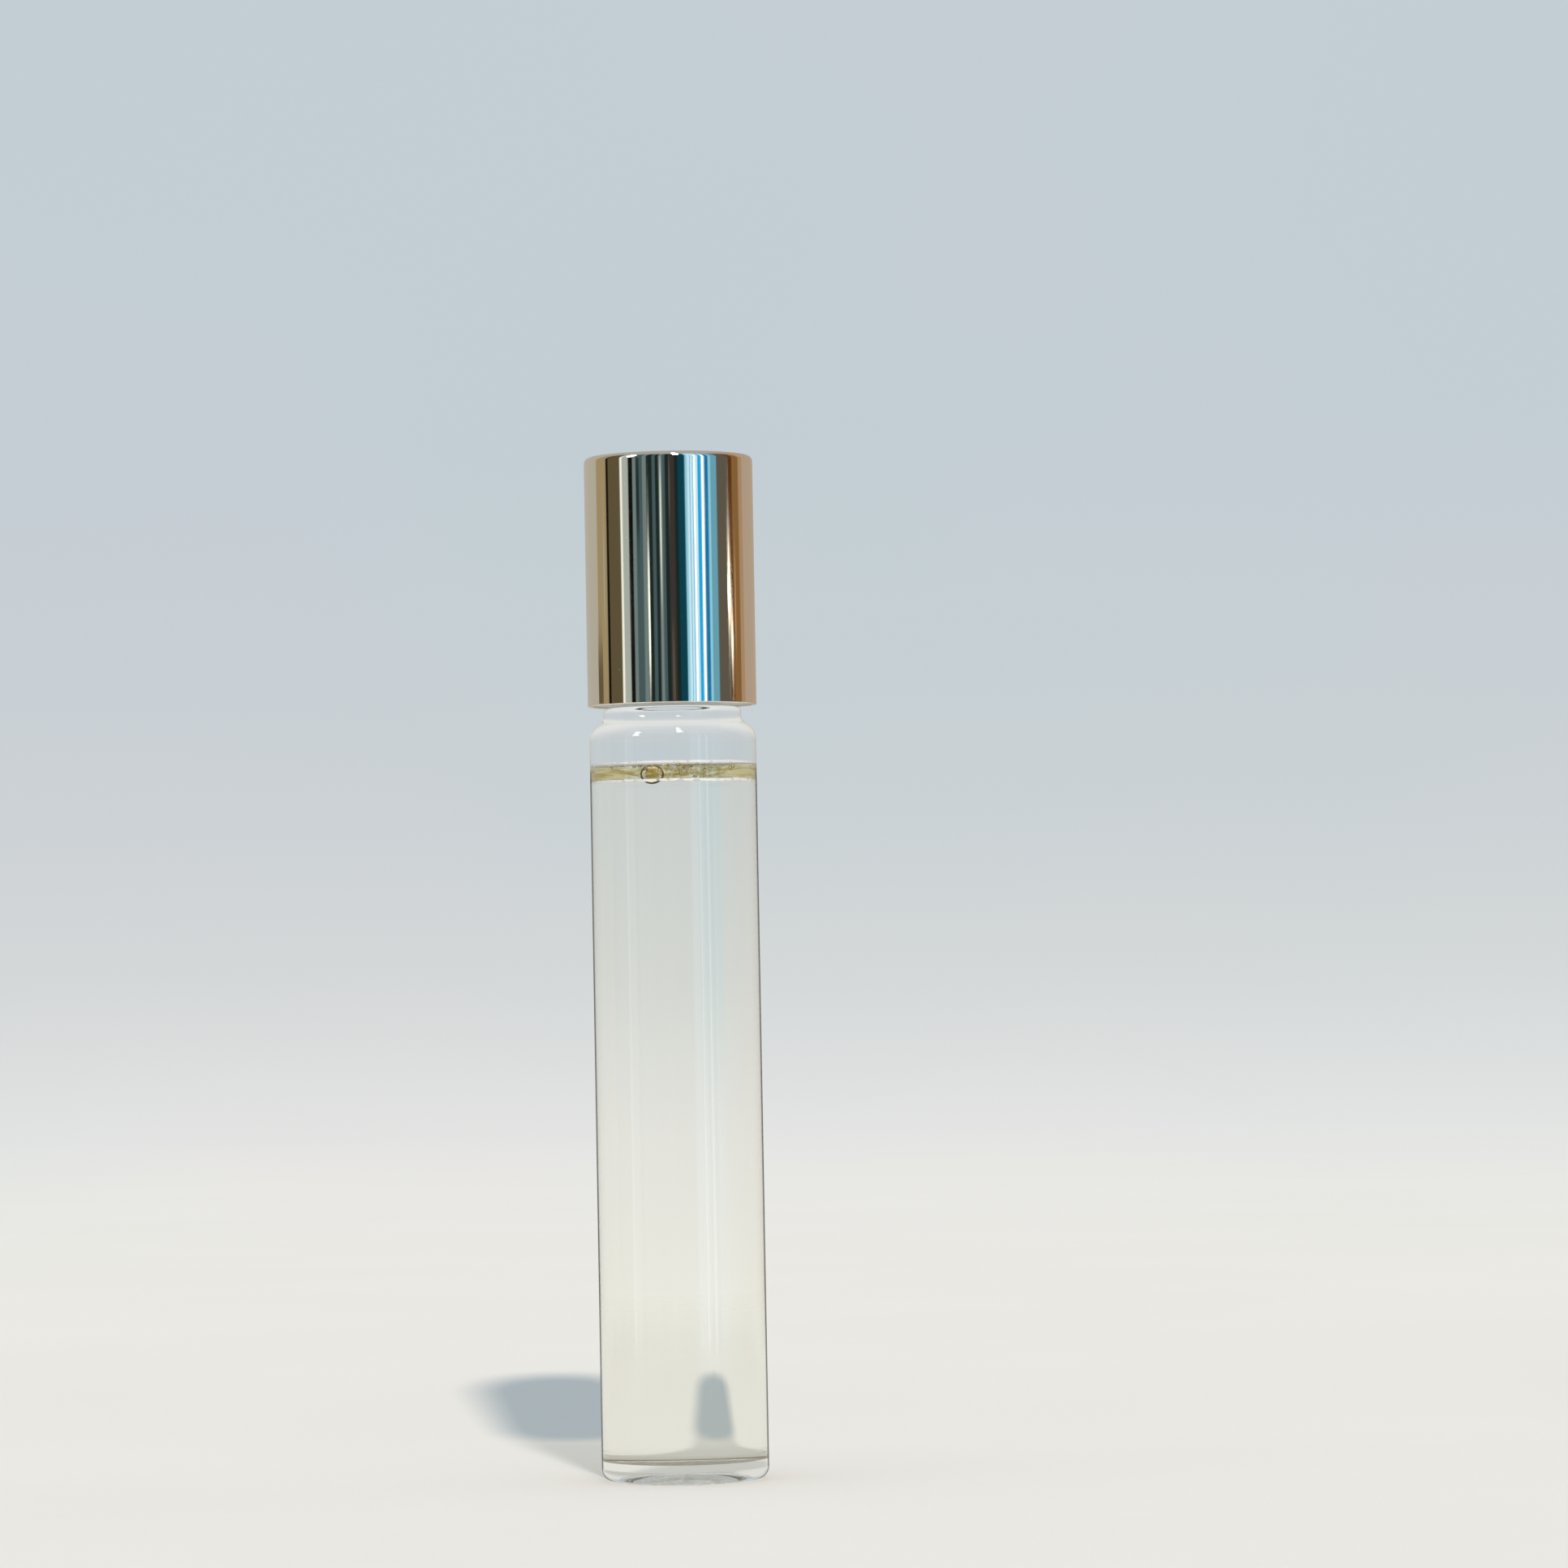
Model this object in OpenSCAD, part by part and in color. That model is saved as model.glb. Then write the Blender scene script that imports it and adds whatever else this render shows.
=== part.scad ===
// Roll-on bottle: a glass vial with a ball applicator in its neck, under a metal screw cap.
// Millimetres, +Z up, origin at the centre of the base, cap closed.

/* [Glass bottle] */
// Outer diameter of the glass body
body_d = 16; // [14:0.5:30]
// Height of the glass from the base to the top of the shoulder
body_h = 72.5; // [40:0.5:120]
// Thickness of the glass wall
wall_t = 1.1; // [0.8:0.1:1.5]
// Thickness of the glass floor at the ring that it stands on
floor_t = 1.9; // [1.4:0.1:4]
// Radius round the outside of the heel
heel_r = 1.2; // [0.6:0.1:2]
// Radius round the outside of the shoulder
shoulder_r = 1.7; // [0.8:0.1:2.2]
// Radius in the corners of the hollow
hollow_r = 1; // [0.4:0.1:1.4]
// Height of the dome pushed up under the base
push_up = 0.5; // [0.2:0.1:1]
// Width of the ring that the bottle stands on
rest_w = 1.2; // [0.6:0.1:2]

/* [Neck finish] */
// Width of the shoulder, from the side of the body to the root of the neck's thread
shoulder_w = 2.3; // [1.8:0.1:3]
// Height of the neck from the shoulder to the lip
finish_h = 11.4; // [10:0.1:16]
// Thickness of the neck's wall at the root of the thread
neck_t = 1.2; // [1:0.1:1.8]
// Height of the thread above its root
thread_depth = 0.75; // [0.4:0.05:1]
// Height of the bead under the thread
bead_h = 1.4; // [1:0.1:2.4]
// How far the bead stands out past the thread
bead_proud = 0.15; // [0.1:0.05:0.4]
// Radius round the edges of the bead
bead_r = 0.5; // [0.2:0.05:0.5]
// Radius round the outside of the lip
lip_r = 0.4; // [0.2:0.05:0.5]
// Radius where the hollow opens into the neck
neck_edge_r = 0.5; // [0.2:0.1:1]

/* [Contents] */
// Air between the liquid and the top of the shoulder
headspace = 5.6; // [4:0.1:20]
// How far the liquid climbs the glass at its edge
meniscus_h = 1.5; // [0.6:0.1:1.7]
// Radius of the liquid's curved edge
meniscus_r = 1.8; // [1.8:0.1:3]

/* [Ball and housing] */
// Diameter of the ball
ball_d = 8; // [6.6:0.1:9]
// Share of the ball's radius that the socket grips above its centre
grip_share = 0.5; // [0.4:0.05:0.7]
// Wall of the socket where it enters the neck
socket_t = 0.7; // [0.6:0.05:1.2]
// Thickness of the collar round the ball
collar_t = 0.95; // [0.7:0.05:1.3]
// Radius round the collar's mouth
mouth_r = 0.35; // [0.2:0.05:0.45]
// Thickness of the flange that seats on the lip
flange_t = 0.9; // [0.6:0.1:1.4]
// Thickness of the seat under the ball
seat_t = 0.9; // [0.6:0.1:1.5]
// Length of the plug's skirt below the seat
skirt_h = 3.2; // [2.4:0.1:5]
// Thickness of the plug's skirt
skirt_t = 0.8; // [0.5:0.05:1.1]
// Height of the taper that leads the plug into the neck
lead_in_h = 0.8; // [0.4:0.1:1.2]
// How far the sealing rings stand out from the plug
ring_proud = 0.12; // [0.06:0.02:0.2]
// Height of a sealing ring
ring_h = 0.5; // [0.3:0.1:0.7]
// Number of sealing rings on the plug
ring_count = 3; // [2:1:3]
// Diameter of the hole that feeds the ball
throat_d = 3; // [2:0.1:4]
// Number of feed grooves in the seat
groove_count = 6; // [3:1:8]
// Width of a feed groove
groove_w = 0.7; // [0.4:0.1:1]
// Depth of a feed groove in the socket
groove_t = 0.35; // [0.2:0.05:0.45]

/* [Cap] */
// Thickness of the drawn metal shell
shell_t = 0.4; // [0.3:0.05:0.8]
// Radius round the shell's top edge
shell_r = 0.55; // [0.4:0.05:1]
// How far the cap stands out past the glass
cap_proud = 0.1; // [0:0.05:1]
// Least wall of the plastic insert round the thread, where the cap's width would leave less
insert_least_t = 0.6; // [0.5:0.1:1.5]
// How far the insert's edge lies inside the shell
insert_recess = 0.2; // [0.1:0.05:1]
// Thickness of the insert's partition above the seal
partition_t = 1.15; // [0.8:0.05:2]
// Height of the ribbed crown above the partition
crown_h = 5.2; // [2:0.1:10]
// Number of ribs in the crown
rib_count = 8; // [4:1:12]
// Thickness of a rib
rib_t = 0.8; // [0.6:0.1:1.2]
// Diameter of the boss that the ribs meet in
boss_d = 3.6; // [3:0.1:6]
// Thickness of the soft seal above the ball
seal_t = 1.5; // [1:0.1:3]
// Depth of the dish that the ball presses into the seal
dish_h = 0.4; // [0.2:0.1:0.8]
// How far the bead that holds the seal stands into the insert
catch_proud = 0.25; // [0.2:0.05:0.4]

/* [Clearances] */
// Between the liquid and the glass
liquid_gap = 0.02; // [0.01:0.01:0.05]
// Round the ball in its socket
ball_gap = 0.05; // [0.02:0.01:0.1]
// Between the sealing rings and the neck
plug_gap = 0.02; // [0.01:0.01:0.05]
// Between the thread and the insert
thread_gap = 0.2; // [0.1:0.05:0.4]
// Between the housing and the insert
housing_gap = 0.3; // [0.2:0.05:0.5]
// Between the insert and the shell
insert_gap = 0.05; // [0.02:0.01:0.1]
// Between the bead and the closed cap
cap_gap = 0.2; // [0.1:0.05:1]
// Between the seal and the ball
seal_gap = 0.1; // [0.05:0.05:0.3]
// Between the seal and the insert
seal_fit = 0.05; // [0.03:0.01:0.1]

/* [Hidden] */
$fn = 128;
// Overrun of a cut past the face that it leaves
cut = 0.5;
// Smallest land that a round may leave on an edge
land = 0.1;

// Glass
body_r = body_d / 2;
hollow_wall_r = body_r - wall_t;
ceiling_z = body_h - wall_t;
rest_r = body_r - heel_r - rest_w;
dome_r = (rest_r * rest_r + push_up * push_up) / (2 * push_up);
finish_r = body_r - shoulder_w;
bore_r = finish_r - neck_t;
ceiling_r = min(hollow_r, hollow_wall_r - bore_r - land);
neck_round_r = min(neck_edge_r, hollow_wall_r - bore_r - ceiling_r);
thread_r = finish_r + thread_depth;
bead_out_r = thread_r + bead_proud;
bead_top_z = body_h + bead_h;
lip_z = body_h + finish_h;
lip_chamfer = min(lip_r, neck_t - lip_r - land);

// Liquid
liquid_r = hollow_wall_r - liquid_gap;
level_z = body_h - headspace;
meniscus_rise = meniscus_r - meniscus_h;
meniscus_start_r = liquid_r - sqrt(meniscus_r * meniscus_r - meniscus_rise * meniscus_rise);

// Ball, as low in the neck as the socket's wall allows
ball_r = ball_d / 2;
socket_r = ball_r + ball_gap;
ring_r = bore_r - plug_gap;
plug_r = ring_r - ring_proud;
socket_lip_r = plug_r - socket_t;
ball_z = lip_z + sqrt(max(0, socket_r * socket_r - socket_lip_r * socket_lip_r));
grip_h = ball_r * grip_share;

// Housing
collar_r = socket_r + collar_t;
mouth_z = ball_z + grip_h;
mouth_round_z = mouth_z - mouth_r;
mouth_round_x = sqrt(pow(collar_r - mouth_r, 2) - pow(grip_h - mouth_r, 2));
collar_top_z = ball_z + (grip_h - mouth_r) * collar_r / (collar_r - mouth_r);
flange_r = max(finish_r, collar_r);
flange_z = lip_z + flange_t;
seat_z = ball_z - socket_r - seat_t;
skirt_z = seat_z - skirt_h;
ring_step = (lip_z - skirt_z - lead_in_h) / (ring_count + 1);
throat_r = throat_d / 2;

// Seal
seal_z = ball_z + ball_r + seal_gap - dish_h;
seal_top_z = seal_z + dish_h + seal_t;
seal_bore_r = collar_r + housing_gap;
seal_r = seal_bore_r - seal_fit;

// Cap
cap_z = bead_top_z + cap_gap;
insert_z = cap_z + insert_recess;
insert_bore_r = thread_r + thread_gap;
insert_r = max(body_r + cap_proud - shell_t - insert_gap, insert_bore_r + insert_least_t);
insert_t = insert_r - insert_bore_r;
shell_bore_r = insert_r + insert_gap;
shell_out_r = shell_bore_r + shell_t;
flange_bore_r = flange_r + housing_gap;
thread_top_z = lip_z - lip_r;
partition_z = seal_top_z + seal_fit;
crown_z = partition_z + partition_t;
insert_top_z = crown_z + crown_h;
shell_top_z = insert_top_z + shell_t;
shell_in_r = max(shell_r - shell_t, land);

// Half section of a round bar, with the radii of its low and high edges
module bar(r, z0, z1, low_r = 0, high_r = 0) {
    translate([0, z0 + low_r]) square([r, z1 - z0 - low_r - high_r]);
    if (low_r > 0) {
        translate([0, z0]) square([r - low_r, low_r]);
        translate([r - low_r, z0 + low_r]) circle(low_r);
    }
    if (high_r > 0) {
        translate([0, z1 - high_r]) square([r - high_r, high_r]);
        translate([r - high_r, z1 - high_r]) circle(high_r);
    }
}

// Half section of a cone's frustum, from radius r0 at z0 to r1 at z1
module taper(r0, z0, r1, z1) {
    polygon([[0, z0], [r0, z0], [r1, z1], [0, z1]]);
}

module glass_bottle() {
    color([0.86, 0.9, 0.88, 0.35]) rotate_extrude() difference() {
        union() {
            bar(body_r, 0, body_h, heel_r, shoulder_r);
            bar(bead_out_r, body_h - shoulder_r, bead_top_z, 0, bead_r);
            bar(finish_r, body_h, lip_z, 0, lip_r);
        }
        bar(hollow_wall_r, floor_t, ceiling_z, hollow_r, ceiling_r);
        bar(bore_r, ceiling_z - cut, lip_z + cut);
        difference() {
            bar(bore_r + neck_round_r, ceiling_z - cut, ceiling_z + neck_round_r);
            translate([bore_r + neck_round_r, ceiling_z + neck_round_r]) circle(neck_round_r);
        }
        taper(bore_r, lip_z - lip_chamfer, bore_r + lip_chamfer, lip_z);
        translate([0, push_up - dome_r]) circle(dome_r);
    }
}

module fragrance_oil() {
    color([0.93, 0.91, 0.8, 0.6]) rotate_extrude() difference() {
        bar(liquid_r, floor_t + liquid_gap, level_z + meniscus_h, hollow_r);
        bar(meniscus_start_r, level_z, level_z + meniscus_h + cut);
        translate([meniscus_start_r, level_z + meniscus_r]) circle(meniscus_r);
    }
}

// Groove that lets the liquid past the seat and up the side of the socket
module feed_groove() {
    translate([0, 0, ball_z]) rotate([90, 0, 0]) translate([0, 0, -groove_w / 2])
        linear_extrude(groove_w) intersection() {
            circle(socket_r + groove_t);
            translate([0, -socket_r - groove_t]) square(socket_r + groove_t);
        }
}

module roller_housing() {
    color([0.95, 0.95, 0.94]) difference() {
        rotate_extrude() difference() {
            union() {
                bar(plug_r, skirt_z + lead_in_h, flange_z);
                taper(plug_r - skirt_t / 2, skirt_z, plug_r, skirt_z + lead_in_h);
                for (i = [1:ring_count]) {
                    translate([0, skirt_z + lead_in_h + i * ring_step]) sealing_ring();
                }
                bar(flange_r, lip_z, flange_z, 0, flange_t / 2);
                intersection() {
                    translate([0, ball_z]) circle(collar_r);
                    bar(collar_r, lip_z, collar_top_z);
                }
                bar(mouth_round_x, ball_z, mouth_z);
                translate([mouth_round_x, mouth_round_z]) circle(mouth_r);
            }
            translate([0, ball_z]) circle(socket_r);
            bar(throat_r, skirt_z - cut, ball_z);
            bar(plug_r - skirt_t, skirt_z - cut, seat_z);
            taper(plug_r - skirt_t, seat_z, throat_r, seat_z + seat_t / 2);
        }
        for (i = [0:groove_count - 1]) {
            rotate(i * 360 / groove_count) feed_groove();
        }
    }
}

// Half section of a ring that a plug's edge is drawn past
module sealing_ring() {
    polygon([[0, -ring_h / 2], [plug_r, -ring_h / 2], [ring_r, 0], [plug_r, ring_h / 2],
             [0, ring_h / 2]]);
}

module roller_ball() {
    color([0.78, 0.79, 0.8]) translate([0, 0, ball_z]) sphere(ball_r);
}

module ball_seal() {
    color([0.9, 0.9, 0.88]) rotate_extrude() difference() {
        bar(seal_r, seal_z, seal_top_z, dish_h / 2);
        translate([0, ball_z]) circle(ball_r + seal_gap);
    }
}

module crown_rib() {
    translate([0, -rib_t / 2, crown_z]) cube([insert_r - insert_t / 2, rib_t, crown_h]);
}

module inner_cap() {
    color([0.96, 0.96, 0.95]) {
        rotate_extrude() difference() {
            bar(insert_r, insert_z, insert_top_z, 0, shell_in_r);
            bar(insert_bore_r, insert_z - cut, thread_top_z);
            taper(insert_bore_r + insert_t / 2, insert_z, insert_bore_r, insert_z + insert_t / 2);
            bar(flange_bore_r, thread_top_z - cut, flange_z + housing_gap);
            difference() {
                bar(seal_bore_r, flange_z, partition_z);
                translate([seal_bore_r, seal_z - catch_proud]) circle(catch_proud);
            }
            bar(insert_r - insert_t, crown_z, insert_top_z + cut);
        }
        for (i = [0:rib_count - 1]) {
            rotate(i * 360 / rib_count) crown_rib();
        }
        translate([0, 0, crown_z]) cylinder(d = boss_d, h = crown_h);
    }
}

module cap_shell() {
    color([0.8, 0.74, 0.62]) rotate_extrude() difference() {
        bar(shell_out_r, cap_z, shell_top_z, shell_t / 4, shell_r);
        bar(shell_bore_r, cap_z - cut, insert_top_z, 0, shell_in_r);
    }
}

glass_bottle();
fragrance_oil();
roller_housing();
roller_ball();
ball_seal();
inner_cap();
cap_shell();
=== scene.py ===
import math
import random

import bmesh
import bpy
from mathutils import Matrix, Quaternion, Vector


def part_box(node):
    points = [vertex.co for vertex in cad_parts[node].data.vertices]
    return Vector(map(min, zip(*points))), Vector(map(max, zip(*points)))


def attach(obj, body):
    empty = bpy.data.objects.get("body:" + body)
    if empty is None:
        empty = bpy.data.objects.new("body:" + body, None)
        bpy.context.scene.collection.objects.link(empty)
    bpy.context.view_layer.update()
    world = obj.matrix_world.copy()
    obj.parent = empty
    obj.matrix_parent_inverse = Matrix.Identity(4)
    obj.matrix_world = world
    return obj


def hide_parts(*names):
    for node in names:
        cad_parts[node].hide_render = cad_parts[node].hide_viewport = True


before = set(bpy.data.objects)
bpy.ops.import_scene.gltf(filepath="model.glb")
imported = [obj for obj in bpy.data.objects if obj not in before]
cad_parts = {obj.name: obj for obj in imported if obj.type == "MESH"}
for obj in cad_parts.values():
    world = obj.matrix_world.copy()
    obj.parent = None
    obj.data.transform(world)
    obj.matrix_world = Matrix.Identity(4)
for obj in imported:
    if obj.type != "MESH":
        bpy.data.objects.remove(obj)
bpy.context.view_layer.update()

# Sizes in metres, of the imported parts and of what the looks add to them
MM = 0.001
TAU = 2 * math.pi

glass_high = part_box("glass_bottle")[1]
oil_low, oil_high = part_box("fragrance_oil")
shell_low, shell_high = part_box("cap_shell")

# The vial
BODY_R = glass_high.x
LIP_Z = glass_high.z
OIL_GAP = 0.02 * MM
HOLLOW_R = oil_high.x + OIL_GAP
FLOOR_Z = oil_low.z - OIL_GAP
WALL_T = BODY_R - HOLLOW_R
HOLLOW_ROUND = 1 * MM
HEEL_R = 1.2 * MM
SHOULDER_R = 1.7 * MM
REST_W = 1.2 * MM
PUSH_UP = 0.5 * MM
FINISH_H = 11.4 * MM
BODY_TOP_Z = LIP_Z - FINISH_H
CEILING_Z = BODY_TOP_Z - WALL_T
ROOT_R = 5.7 * MM
BORE_R = 4.5 * MM
BORE_ROUND = 0.5 * MM
LIP_ROUND = 0.4 * MM
BEAD_R = 6.6 * MM
BEAD_H = 1.4 * MM
BEAD_ROUND = 0.5 * MM
BEAD_FILLET = 0.9 * MM
OUTSIDE, WETTED, NECK, BASE, NECK_INSIDE, FOOT = range(6)  # The vial's skins

# The neck's thread, one lead a turn
LEAD = 25.4 / 12 * MM
THREAD_H = 0.75 * MM
THREAD_LOW_Z = BODY_TOP_Z + 6.4 * MM
THREAD_TURNS = 1.5
THREAD_FADE = 0.09
THREAD_ROW = 0.1 * MM
CREST_HALF = 0.25 * MM
FOOT_HALF = 0.65 * MM

# The oil reaches a little into the glass, so that no film of air lies between them
WETTING = 0.05 * MM
MENISCUS_H = 1.5 * MM
LEVEL_Z = oil_high.z - MENISCUS_H
MENISCUS_R = 1.8 * MM
SIDE, TOP, EDGE = range(3)  # The oil's skins

# Bubbles and froth at the oil's edge. A place round the wall is in degrees, 0 towards the camera.
BUBBLE_R = 1 * MM
BUBBLE_X = -1.75 * MM
BUBBLE_Z = LEVEL_Z + 0.45 * MM
BUBBLE_STRETCH = (1.04, 0.96, 0.92)
FROTH_COUNT = 46
FROTH_R = (0.07 * MM, 0.2 * MM)
FROTH_AT = 3
FROTH_SPREAD = 20
FROTH_HEIGHT_SHARES = (0.1, 0.95)
FROTH_SEED = 4
LINE_HALF = 0.17 * MM
LINE_OFF = 0.1 * MM
LINE_WANDER = 0.2 * MM
# How far from the oil's edge its white line ends, and where it is full
EDGE_LINE = (0.2 * MM, 0.12 * MM)
MOTTLE_X = 0.3 * MM
MOTTLE_HALF = (5 * MM, 3.5 * MM)

# The cap
SHELL_T = 0.4 * MM
SHELL_ROUND = 0.55 * MM
SHELL_HEM = 0.1 * MM
CAP_CREST_R = 5.95 * MM
CAP_ROOT_R = 6.65 * MM
CAP_SUNK_R = CAP_ROOT_R + 0.3 * MM
CAP_THREAD_TURNS = 2
CAP_THREAD_LOW_Z = THREAD_LOW_Z - 1.5 * LEAD

# How finely the meshes are made
ROUND_STEPS = 256
ARC_STEPS = 12
LONG_ARC_STEPS = 16
SHORT_ARC_STEPS = 8
TINY_ARC_STEPS = 6
MENISCUS_STEPS = 20
CAP_THREAD_STEPS = 96
BUBBLE_SEGMENTS = 48
BUBBLE_RINGS = 32
# A ring this close to a rounded edge keeps the wall beyond it straight in its shading
HOLD = 0.05 * MM
FLAT_WITHIN = 0.01 * MM
ON_AXIS_R = 1e-9
MERGE_WITHIN = 1e-7
SHARP_FROM = math.radians(35)

# Materials. A shade is red, green and blue. A light is what the lamps keep on their way through.
GLASS_IOR = 1.5
OIL_IOR = 1.45
BUBBLE_IOR = 1.02
NECK_IOR = 1.03
BASE_IOR = 1.03
PLASTIC_IOR = 1.5
COAT_SHARE = 0.6
FILM_SHARE = 0.5
DOTS_SHARE = 0.35
WORN_SHARES = (0.3, 0.6)
# How much of the painted dark edge shade covers the wall and the base
WALL_PAINTED_EDGE_SHARE = 0.8
BASE_PAINTED_EDGE_SHARE = 0.75
GLASS_WAVE_H = 0.02 * MM
SHELL_WAVE_H = 0.02 * MM
DRAWN_H = 0.004 * MM
GRAIN_H = 0.01 * MM
SCRATCH_H = 0.002 * MM
GLOW_DEPTH = 0.6 * MM
WALL_LIGHT = (0.955, 0.965, 0.97)
INSIDE_LIGHT = (0.98, 0.985, 0.985)
FOOT_LIGHT = (0.97, 0.975, 0.975)
OIL_LIGHT = (0.72, 0.66, 0.56)
OIL_TOP_LIGHT = (0.97, 0.96, 0.9)
BUBBLE_LIGHT = (0.98, 0.98, 0.95)
CLEAR_SHADE = (0.985, 0.99, 0.99)
WALL_SHADE = (0.985, 0.995, 0.99)
LET_OUT_SHADE = (0.9, 0.92, 0.91)
WETTED_SHADE = (0.995, 1, 0.998)
NECK_INSIDE_SHADE = (0.99, 0.995, 0.995)
BASE_SHADE = (0.93, 0.925, 0.89)
FOOT_SHADE = (0.8, 0.9, 1)
# Painted dark shades for the turned-away edges of the wall and of the base
PAINTED_EDGE_SHADE = (0.12, 0.12, 0.11)
BASE_PAINTED_EDGE_SHADE = (0.16, 0.15, 0.09)
FROTH_SHADE = (1, 0.99, 0.97)
LINE_SHADE = (1, 1, 0.98)
OIL_SHADES = (0.985, 0.972, 0.944), (0.995, 0.984, 0.96)
OIL_TOP_SHADES = (0.97, 0.96, 0.9), (0.99, 0.98, 0.94)
# The painted golden reflection of the oil's curved edge, mottled in the middle and plain at its
# ends
MOTTLE_SHADES = (0.70, 0.58, 0.30), (0.99, 0.97, 0.88)
PAINTED_GOLD_SHADE = (0.91, 0.82, 0.56)
BUBBLE_SHADES = (0.90, 0.87, 0.74), (1, 0.99, 0.94)
# The bubble's painted highlight rim and its painted dark edge
BUBBLE_PAINTED_HIGHLIGHT_SHADE = (0.97, 0.96, 0.92)
BUBBLE_PAINTED_SHADE = (0.27, 0.21, 0.08)
SHELL_SHADE = (0.87, 0.81, 0.70)
SHELL_INSIDE_SHADES = (0.82, 0.8, 0.76), (0.92, 0.9, 0.86)
WHITE_SHADES = (0.88, 0.88, 0.87), (0.93, 0.93, 0.92)
NATURAL_SHADES = (0.82, 0.84, 0.84), (0.9, 0.91, 0.91)
FOAM_SHADES = (0.76, 0.76, 0.74), (0.86, 0.86, 0.84)
STEEL_SHADES = (0.7, 0.71, 0.72), (0.8, 0.81, 0.82)
FLOOR_SHADES = (0.815, 0.808, 0.768), (0.83, 0.822, 0.784)
ROUGHNESS_SWING = 0.08
SHELL_ROUGHNESS = (0.03, 0.075)
SHELL_INSIDE_ROUGHNESS = (0.45, 0.6)
BALL_ROUGHNESS = (0.06, 0.16)

# How far a surface turns away, from 0 to 1, where a painted dark edge or a painted highlight rim
# starts and where it is full
WALL_PAINTED_EDGE = (0.77, 0.86)
BASE_PAINTED_EDGE = (0.8, 0.9)
BUBBLE_PAINTED_HIGHLIGHT_RIM = (0.16, 0.24)
BUBBLE_PAINTED_SHADE_RIM = (0.40, 0.50)

# The share mirrored, from which total reflection is taken to start and to be full
SHUT_IN = (0.9, 0.99)


def arc(centre_r, centre_z, radius, start, end, steps=ARC_STEPS):
    """Points of an arc in a half section, between two angles in degrees."""
    angles = [math.radians(start + (end - start) * i / steps) for i in range(steps + 1)]
    return [(centre_r + radius * math.cos(a), centre_z + radius * math.sin(a)) for a in angles]


def smooth(share):
    """Eases a share in and out, and holds it between 0 and 1."""
    share = min(max(share, 0), 1)
    return share * share * (3 - 2 * share)


def piece_from(name, mesh_data, body, materials, replaced=()):
    """An object from a bmesh, shaded smooth but for its edges, on its body."""
    bmesh.ops.remove_doubles(mesh_data, verts=mesh_data.verts, dist=MERGE_WITHIN)
    bmesh.ops.recalc_face_normals(mesh_data, faces=mesh_data.faces)
    mesh = bpy.data.meshes.new(name)
    mesh_data.to_mesh(mesh)
    mesh_data.free()
    mesh.shade_smooth()
    mesh.set_sharp_from_angle(angle=SHARP_FROM)
    for material in materials:
        mesh.materials.append(material)
    piece = bpy.data.objects.new(name, mesh)
    bpy.context.scene.collection.objects.link(piece)
    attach(piece, body)
    if replaced:
        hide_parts(*replaced)


def lathe(outline, relief=None):
    """A bmesh turned from the half section's outline. relief gives what stands out past a point."""
    made = bmesh.new()
    rings = []
    for r, z in outline:
        if r < ON_AXIS_R:
            rings.append([made.verts.new((0, 0, z))] * ROUND_STEPS)
            continue
        ring = []
        for i in range(ROUND_STEPS):
            angle = TAU * i / ROUND_STEPS
            at_r = r + (relief(r, z, angle) if relief else 0)
            ring.append(made.verts.new((at_r * math.cos(angle), at_r * math.sin(angle), z)))
        rings.append(ring)
    for low, high in zip(rings, rings[1:]):
        for i in range(ROUND_STEPS):
            j = (i + 1) % ROUND_STEPS
            corners = []
            for vert in (low[i], low[j], high[j], high[i]):
                if vert not in corners:
                    corners.append(vert)
            if len(corners) > 2:
                made.faces.new(corners)
    return made


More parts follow.
